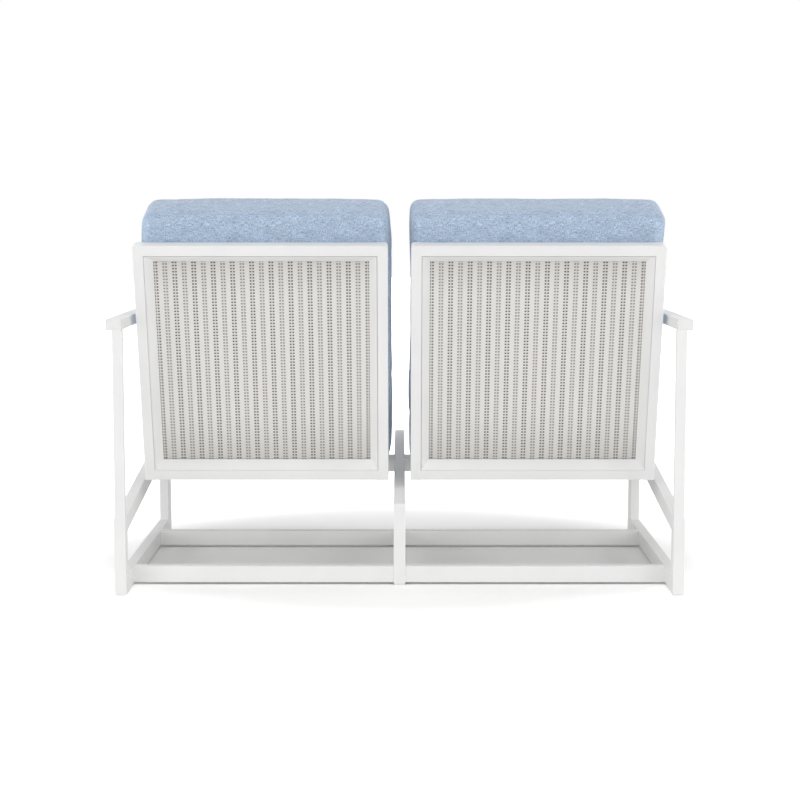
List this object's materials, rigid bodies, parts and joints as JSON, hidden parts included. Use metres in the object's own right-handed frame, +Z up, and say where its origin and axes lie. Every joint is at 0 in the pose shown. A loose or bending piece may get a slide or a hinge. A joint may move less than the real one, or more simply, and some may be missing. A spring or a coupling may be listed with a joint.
{
  "type": "outdoor rocking bench",
  "caption": "Patio bench with a white tube frame, arms and separately rocking sling seats with blue cushions, each on a spring-centred pivot.",
  "frame": {"origin": "On the floor, under the middle of the bench's bounding box at rest.", "axes": "+X is across the bench to the sitter's left, the bench faces -Y, +Z is up."},
  "size_m": [1.376, 0.86, 0.9435],
  "materials": {
    "white_paint": "satin white powder coat on metal tube",
    "rocker_steel": "white powder coat on pressed steel plate",
    "zinc_plate": "bright zinc plate",
    "spring_steel": "plated spring wire",
    "white_nylon": "moulded white nylon",
    "bush_nylon": "moulded flanged bush",
    "black_rubber": "moulded rubber buffer",
    "sling_fabric": "open woven sling in warm light grey, in vertical ribs",
    "blue_fabric": "heathered light blue cushion cloth with piped seams"
  },
  "bodies": {
    "base": {"left_floor_rail": "white_paint", "right_floor_rail": "white_paint", "middle_floor_rail": "white_paint", "left_seat_rail": "white_paint", "right_seat_rail": "white_paint", "middle_seat_rail": "white_paint", "left_rear_post": "white_paint", "right_rear_post": "white_paint", "middle_rear_post": "white_paint", "middle_front_post": "white_paint", "left_rear_leg": "white_paint", "right_rear_leg": "white_paint", "left_front_leg": "white_paint", "right_front_leg": "white_paint", "left_armrest": "white_paint", "right_armrest": "white_paint", "rear_stretchers": "white_paint", "front_stretchers": "white_paint", "left_cross_beam": "white_paint", "right_cross_beam": "white_paint", "floor_glides": "white_nylon", "tube_end_caps": "white_nylon", "frame_bolts": "zinc_plate", "left_rocker_base": "rocker_steel", "right_rocker_base": "rocker_steel", "rocker_bolts": "zinc_plate", "left_pivot_shaft": "zinc_plate", "right_pivot_shaft": "zinc_plate", "shaft_clips": "zinc_plate", "left_rear_springs": "spring_steel", "left_front_springs": "spring_steel", "right_rear_springs": "spring_steel", "right_front_springs": "spring_steel", "left_stop_pads": "black_rubber", "right_stop_pads": "black_rubber"},
    "left_seat": {"left_seat_frame": "white_paint", "left_back_frame": "white_paint", "left_back_sling_frame": "white_paint", "left_back_sling": "sling_fabric", "left_seat_sling_frame": "white_paint", "left_seat_sling": "sling_fabric", "left_back_cushion": "blue_fabric", "left_seat_cushion": "blue_fabric", "left_pivot_plates": "rocker_steel", "left_pivot_bushes": "bush_nylon", "left_seat_caps": "white_nylon"},
    "right_seat": {"right_seat_frame": "white_paint", "right_back_frame": "white_paint", "right_back_sling_frame": "white_paint", "right_back_sling": "sling_fabric", "right_seat_sling_frame": "white_paint", "right_seat_sling": "sling_fabric", "right_back_cushion": "blue_fabric", "right_seat_cushion": "blue_fabric", "right_pivot_plates": "rocker_steel", "right_pivot_bushes": "bush_nylon", "right_seat_caps": "white_nylon"}
  },
  "joints": [
    {"name": "left_seat_rock", "type": "hinge", "parent": "base", "child": "left_seat", "pos_m": [0.3335, -0.13303, 0.28031], "axis": [-1, 0, 0], "range_deg": [-7, 10], "stiffness_Nm_per_rad": 560, "springref_deg": -2.07, "deforming": ["left_rear_springs", "left_front_springs"]},
    {"name": "right_seat_rock", "type": "hinge", "parent": "base", "child": "right_seat", "pos_m": [-0.3335, -0.13303, 0.28031], "axis": [-1, 0, 0], "range_deg": [-7, 10], "stiffness_Nm_per_rad": 560, "springref_deg": -2.07, "deforming": ["right_rear_springs", "right_front_springs"]}
  ]
}
